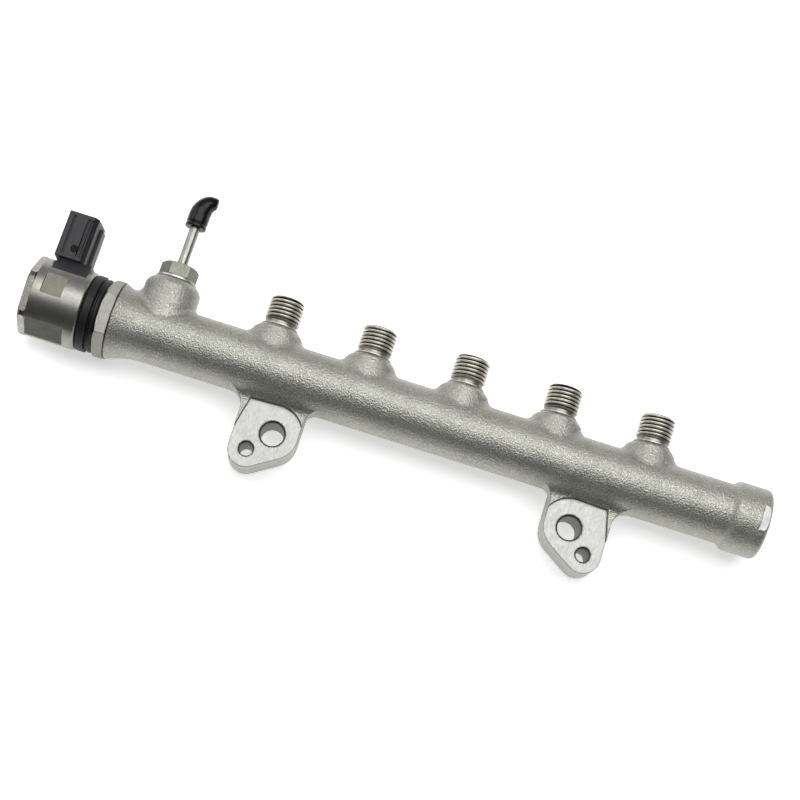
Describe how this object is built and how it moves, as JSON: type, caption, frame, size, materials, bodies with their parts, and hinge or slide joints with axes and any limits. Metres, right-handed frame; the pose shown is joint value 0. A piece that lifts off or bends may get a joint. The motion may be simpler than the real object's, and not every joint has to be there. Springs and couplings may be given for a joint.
{
  "type": "diesel common rail",
  "caption": "Forged fuel rail with threaded line ports, two bolt flanges, a pressure control valve with connector at one end, a capped return tube and an open sensor socket.",
  "frame": {"origin": "midway between the two mounting bolt holes, on the seat plane of the flanges", "axes": "+X along the rail from the valve end to the sensor socket, +Y towards the tips of the ports, +Z out of the flanges' bolt-head side"},
  "size_m": [0.295, 0.0991, 0.031],
  "materials": {
    "forging": "shot-blasted and plated steel forging, silver with a faint warm green, machined pads and threads",
    "turned_steel": "plated turned steel, satin",
    "hardened_steel": "ground hardened steel",
    "soft_iron": "turned soft iron",
    "spring_steel": "drawn spring wire",
    "filter_steel": "thin stainless sheet",
    "drawn_steel": "drawn steel, polished by the die",
    "cover_steel": "stamped steel, dull, with sheared edges",
    "copper": "enamelled copper wire",
    "black_plastic": "glass-filled black plastic",
    "terminal": "tin-plated copper alloy",
    "rubber": "black rubber",
    "ptfe": "white PTFE",
    "washer": "bright soft metal washer",
    "fitting_steel": "plated steel, satin, faintly green",
    "tube_steel": "plated drawn steel tube",
    "cap_rubber": "black rubber, smooth"
  },
  "bodies": {
    "root": {"rail_body": "forging", "valve_housing": "turned_steel", "valve_seat": "hardened_steel", "pole_core": "soft_iron", "inlet_filter": "filter_steel", "coil_can": "drawn_steel", "can_cover": "cover_steel", "coil_winding": "copper", "connector_body": "black_plastic", "connector_terminals": "terminal", "rubber_ring": "rubber", "o_ring": "rubber", "support_ring": "ptfe", "fitting_washer": "washer", "return_fitting": "fitting_steel", "return_tube": "tube_steel", "tube_cap": "cap_rubber", "armature_spring": "spring_steel"},
    "armature_group": {"armature": "soft_iron", "armature_pin": "hardened_steel", "valve_ball": "hardened_steel"}
  },
  "joints": [
    {"name": "armature_slide", "type": "slide", "parent": "root", "child": "armature_group", "axis": [-1, 0, 0], "range_m": [0, 0.0003], "stiffness_N_per_m": 15000, "springref_m": -0.001, "deforming": ["armature_spring"]}
  ]
}
